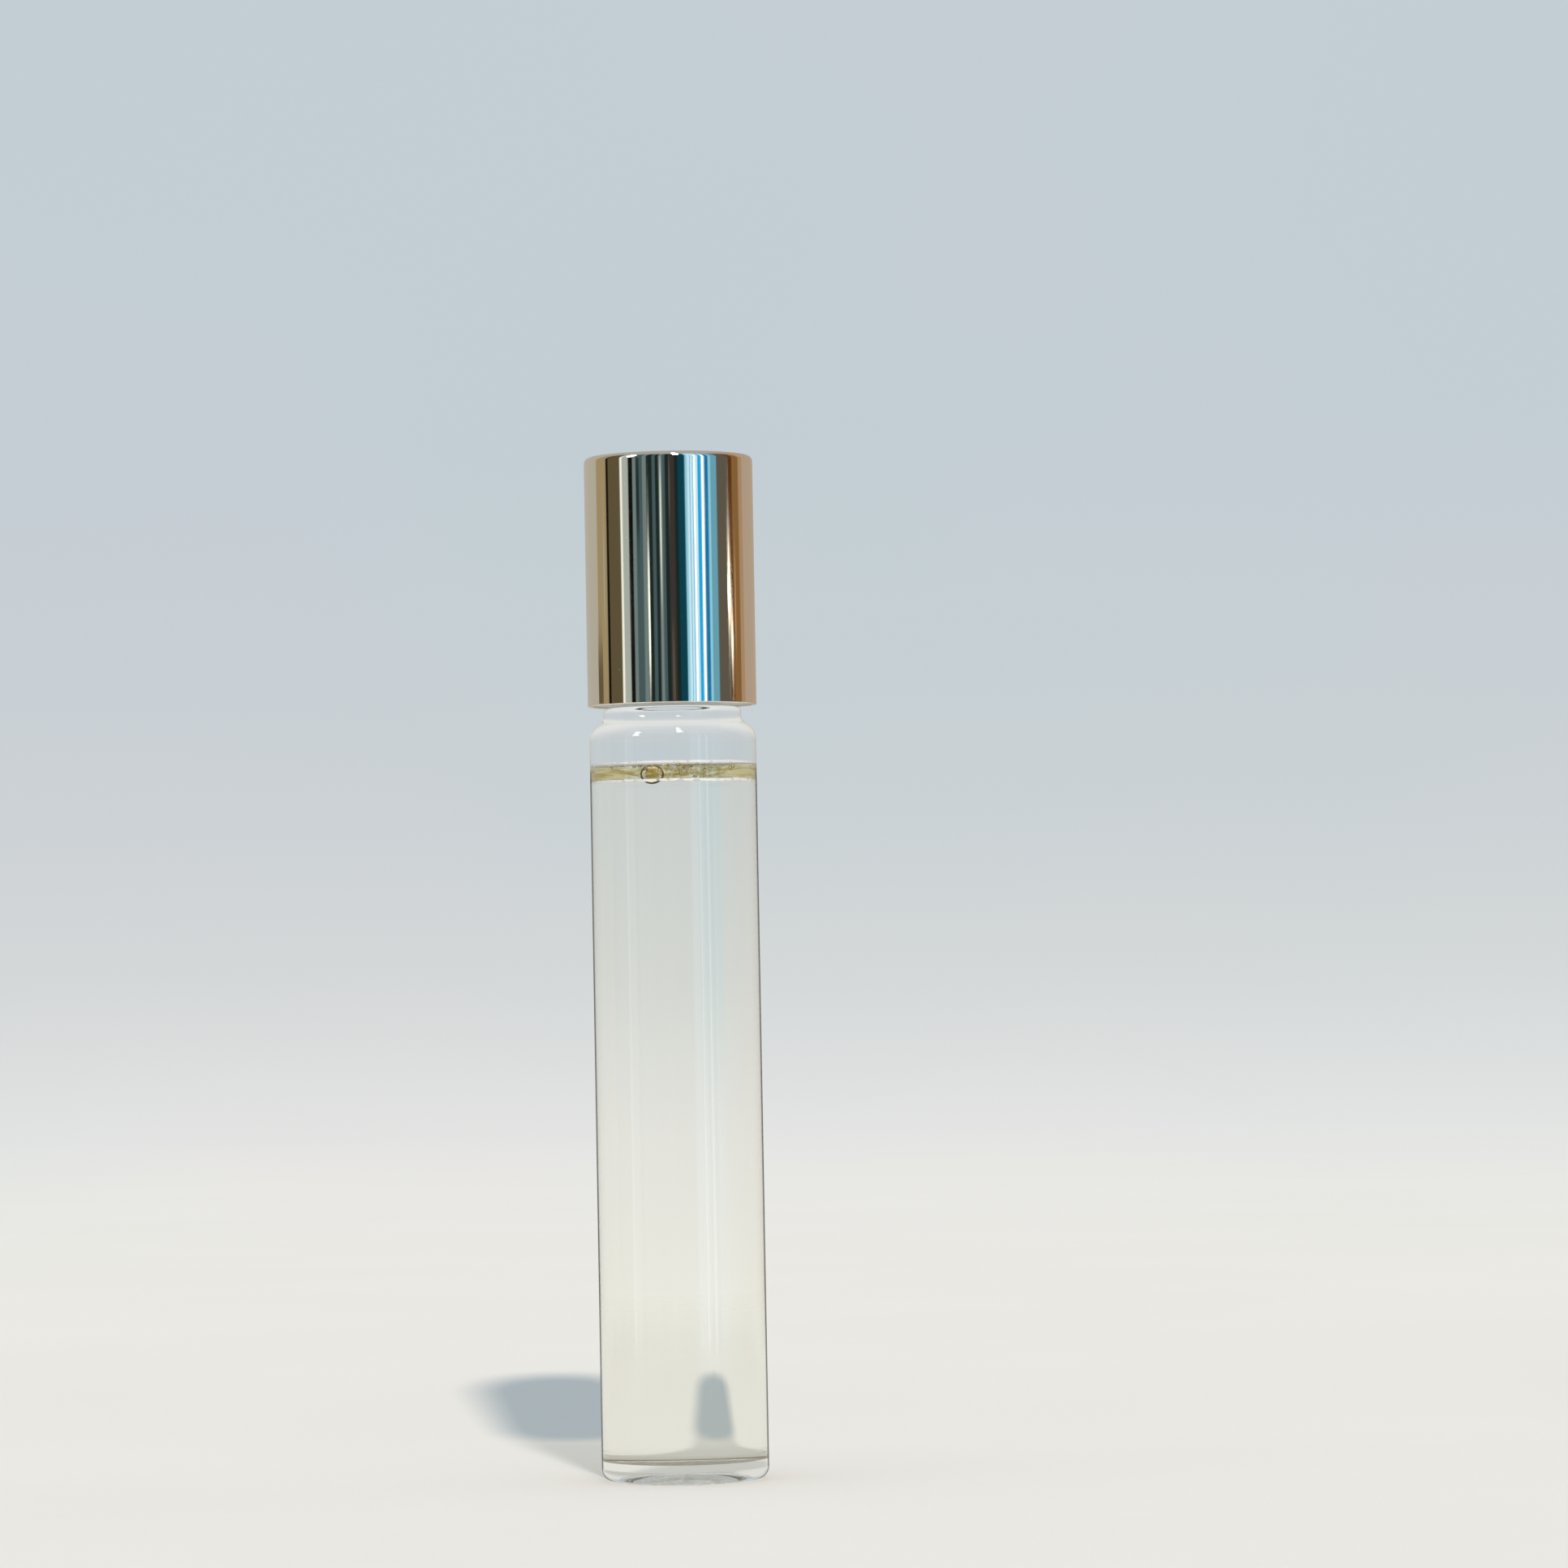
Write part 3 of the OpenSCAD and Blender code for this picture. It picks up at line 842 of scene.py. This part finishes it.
# What polished metal and glass mirror: panels round the room, each from its azimuth to the next
CREAM = (0.49, 0.47, 0.42)
PEACH = (0.47, 0.38, 0.30)
GOLD = (0.38, 0.31, 0.18)
OLIVE = (0.12, 0.10, 0.055)
BLACK = (0.005, 0.005, 0.005)
INK = (0.012, 0.025, 0.025)
SOOT = (0.045, 0.04, 0.04)
SLATE = (0.07, 0.12, 0.14)
STEEL = (0.18, 0.25, 0.27)
GREY = (0.43, 0.50, 0.50)
SILVER = (1.0, 1.05, 1.0)
TEAL = (0.004, 0.06, 0.10)
SKY = (0.32, 0.72, 1.0)
BLUE = (0.01, 0.45, 1.0)
NAVY = (0.008, 0.20, 0.48)
MIST = (0.15, 0.42, 0.60)
ICE = (0.66, 0.98, 1.20)
WHITE = (0.95, 1.15, 1.30)
UMBER = (0.12, 0.11, 0.09)
RUST = (0.12, 0.04, 0.01)
AMBER = (0.26, 0.14, 0.05)
TAN = (0.43, 0.29, 0.18)
BACK_AZIMUTH = 180
LEFT_PANELS = [
    (-BACK_AZIMUTH, CREAM), (-116, GOLD), (-94.5, BLACK), (-90, OLIVE), (-69, SILVER),
    (-65.5, GREY), (-55.5, BLACK), (-49.5, STEEL), (-44.5, SLATE), (-35, STEEL), (-29.5, INK),
    (-21.5, SLATE), (-17, INK), (-12.5, STEEL), (-8, SLATE), (-3.5, INK),
]
RIGHT_PANELS = [
    (1, SOOT), (9, INK), (14, TEAL), (23.5, SKY), (27, ICE), (41.5, BLUE), (46.5, WHITE),
    (50.5, NAVY), (56.5, SKY), (60, MIST), (70, UMBER), (91, RUST), (98, AMBER), (112, TAN),
    (121, PEACH),
]
PANEL_EDGE = 0.7

# Narrower lights and darks before the panels: azimuth, half width, lowest and highest elevation
LAMP_WHITE = (2.4, 2.5, 2.6)
LAMP_SILVER = (1.7, 1.8, 1.7)
LAMP_WARM = (2.6, 2.2, 1.8)
LAMP_FLARE = (6, 5.6, 5)
EMBER = (0.6, 0.36, 0.2)
STREAKS = [
    (30.5, 0.6, -8, 30, BLUE),
    (34.5, 0.6, -8, 30, BLUE),
    (37, 0.8, -8, 30, LAMP_WHITE),
    (48.2, 0.7, -8, 30, LAMP_WHITE),
    (-112, 6.0, 2.0, 3.2, OLIVE),
    (-100.6, 1.0, 3.2, 4.2, GREY),
    (-42, 2.4, 3.9, 5.2, INK),
    (-28, 1.3, 2.6, 4.1, LAMP_SILVER),
    (-10.2, 1.1, 3.4, 4.8, SILVER),
    (2, 1.2, 4.2, 4.8, UMBER),
    (4.5, 1.7, 2.0, 3.3, UMBER),
    (89.5, 1.3, 3.15, 4.0, LAMP_WARM),
    (89.5, 3.0, 3.4, 3.64, LAMP_FLARE),
    (94, 1.3, 2.9, 3.3, LAMP_WARM),
    (94.5, 2.4, 3.0, 3.13, LAMP_FLARE),
    (101.5, 1.0, 2.9, 4.0, EMBER),
]
STREAK_SOFT_SHARE = 0.55

# The ceiling over the panels
CEILING = (0.42, 0.45, 0.48)
CEILING_FROM = 34
CEILING_TO = 62

# The two lamps as gloss shows them: azimuth, lowest and highest elevation
GLINTS = [(11.8, 32, 66), (-53.5, 14, 38)]
GLINT_HALF_W = 4.6
GLINT_SHADE = (16, 16, 16)


def panel_stops(panels, end):
    """A ramp's stops, two a panel, so that each is plain but for its narrow soft edges."""
    stops = []
    for (start, shade), (stop, _) in zip(panels, [*panels[1:], (end, None)]):
        stops += [(start + PANEL_EDGE / 2, shade), (stop - PANEL_EDGE / 2, shade)]
    return stops


def patch(g, azimuth, elevation, at, half, low, high, soft):
    """A soft-edged rectangle of the room: 1 inside, 0 outside."""
    aside = g.math("ABSOLUTE", g.math("SUBTRACT", azimuth, at))
    above = g.math("ABSOLUTE", g.math("SUBTRACT", elevation, (low + high) / 2))
    wide = g.span(aside, half, half - soft)
    tall = g.span(above, (high - low) / 2, (high - low) / 2 - soft)
    return g.math("MULTIPLY", wide, tall)


def mirrored_room(g, azimuth, elevation):
    """What gloss shows: the panels, the streaks before them, the ceiling and the lamps."""
    middle = RIGHT_PANELS[0][0]
    left = g.ramp(azimuth, -BACK_AZIMUTH, middle, panel_stops(LEFT_PANELS, middle))
    right = g.ramp(azimuth, middle, BACK_AZIMUTH, panel_stops(RIGHT_PANELS, BACK_AZIMUTH))
    room = g.mix(g.math("GREATER_THAN", azimuth, middle), left, right)
    for at, half, low, high, shade in STREAKS:
        soft = STREAK_SOFT_SHARE * min(half, (high - low) / 2)
        room = g.mix(patch(g, azimuth, elevation, at, half, low, high, soft), room, shade)
    room = g.mix(g.span(elevation, CEILING_FROM, CEILING_TO), room, CEILING)
    for lamp, low, high in GLINTS:
        wide = g.math("COMPARE", azimuth, lamp, GLINT_HALF_W)
        tall = g.math("COMPARE", elevation, (low + high) / 2, (high - low) / 2)
        room = g.mix(g.math("MULTIPLY", wide, tall), room, GLINT_SHADE)
    return room


def make_world():
    world = bpy.data.worlds.new("studio")
    bpy.context.scene.world = world
    world.use_nodes = True
    world.cycles.sampling_method = "NONE"
    g = Graph(world.node_tree)
    way = g.add("TexCoord").outputs["Generated"]
    x, y, z = g.add("SeparateXYZ", {0: way}).outputs
    elevation = g.math("DEGREES", g.math("ARCSINE", z))
    azimuth = g.math("DEGREES", g.math("ARCTAN2", x, g.math("MULTIPLY", y, -1)))
    rays = g.add("LightPath").outputs

    plain = g.ramp(elevation, BACKDROP[0][0], BACKDROP[-1][0], BACKDROP)
    tint = g.mix(g.cloud(BACKDROP_CLOUD, where=way), *BACKDROP_TINTS)
    backdrop = g.mix(1, plain, tint, "MULTIPLY")
    in_oil = g.math("GREATER_THAN", rays["Transmission Depth"], OIL_DEPTH)
    through = g.mix(1, plain, g.mix(in_oil, GLASS_LIFT, OIL_LIFT), "MULTIPLY")
    blue = patch(g, azimuth, elevation, BLUE_AZIMUTH, BLUE_HALF, BLUE_LOW, BLUE_HIGH, BLUE_SOFT)
    through = g.mix(g.math("MULTIPLY", blue, in_oil), through, BLUE_LIFT, "MULTIPLY")

    seen = g.mix(rays["Is Camera Ray"], FILL, backdrop)
    seen = g.mix(rays["Is Glossy Ray"], seen, mirrored_room(g, azimuth, elevation))
    seen = g.mix(rays["Is Transmission Ray"], seen, through)
    shown = g.add("Background", {"Color": seen}).outputs[0]
    g.add("OutputWorld", {"Surface": shown})


def make_key():
    """The lamp that throws the shadow."""
    sun = bpy.data.lights.new("key", "SUN")
    sun.energy = KEY_ENERGY
    sun.color = KEY_SHADE
    sun.angle = math.radians(KEY_WIDTH)
    key = bpy.data.objects.new("key", sun)
    azimuth = math.radians(KEY_AZIMUTH)
    elevation = math.radians(KEY_ELEVATION)
    towards = Vector((math.sin(azimuth) * math.cos(elevation),
                      -math.cos(azimuth) * math.cos(elevation), math.sin(elevation)))
    key.rotation_mode = "QUATERNION"
    key.rotation_quaternion = towards.to_track_quat("Z", "Y")
    key.visible_glossy = False
    key.visible_transmission = False
    bpy.context.scene.collection.objects.link(key)


# The floor, a wide sheet that rises a little behind the object and fades into the backdrop far out
FLOOR_R = 1.2
RISE_FROM = 0.046
RISE_TO = 0.088
RISE_H = 0.0055
RISE_ROWS = 24
FADE_FROM = 0.3
FADE_TO = 1.1
GLOSS_FADE_FROM = 0.1
GLOSS_FADE_TO = 0.25
FLOOR_CLOUD = 14


def floor_material():
    """Pale and matt, lit as if level, and gone sooner where gloss shows it."""
    made, g = material("pale_floor")
    where = g.add("TexCoord").outputs["Object"]
    reach = g.add("VectorMath", {0: where}, operation="LENGTH").outputs["Value"]
    shade = g.mix(g.cloud(FLOOR_CLOUD, detail=4), *FLOOR_SHADES)
    level = g.add("CombineXYZ", {2: 1}).outputs[0]
    floor = g.add("BsdfDiffuse", {"Color": shade, "Normal": level}).outputs[0]
    glossy = g.add("LightPath").outputs["Is Glossy Ray"]
    start = g.span(glossy, 0, 1, FADE_FROM, GLOSS_FADE_FROM)
    end = g.span(glossy, 0, 1, FADE_TO, GLOSS_FADE_TO)
    fade = g.add("MapRange", {"Value": reach, 1: start, 2: end}).outputs[0]
    g.surface(g.cover(floor, g.add("BsdfTransparent").outputs[0], fade))
    return made


def make_floor():
    step = (RISE_TO - RISE_FROM) / RISE_ROWS
    rows = [-FLOOR_R, *[RISE_FROM + step * i for i in range(RISE_ROWS + 1)], FLOOR_R]
    sheet = bmesh.new()
    lines = []
    for y in rows:
        z = RISE_H * smooth((y - RISE_FROM) / (RISE_TO - RISE_FROM))
        lines.append([sheet.verts.new((x, y, z)) for x in (-FLOOR_R, FLOOR_R)])
    for near, far in zip(lines, lines[1:]):
        sheet.faces.new((*near, *reversed(far)))
    mesh = bpy.data.meshes.new("floor")
    sheet.to_mesh(mesh)
    sheet.free()
    mesh.shade_smooth()
    mesh.materials.append(floor_material())
    floor_object = bpy.data.objects.new("floor", mesh)
    bpy.context.scene.collection.objects.link(floor_object)


make_camera()
make_world()
make_key()
make_floor()
bpy.context.scene.view_settings.view_transform = "Standard"
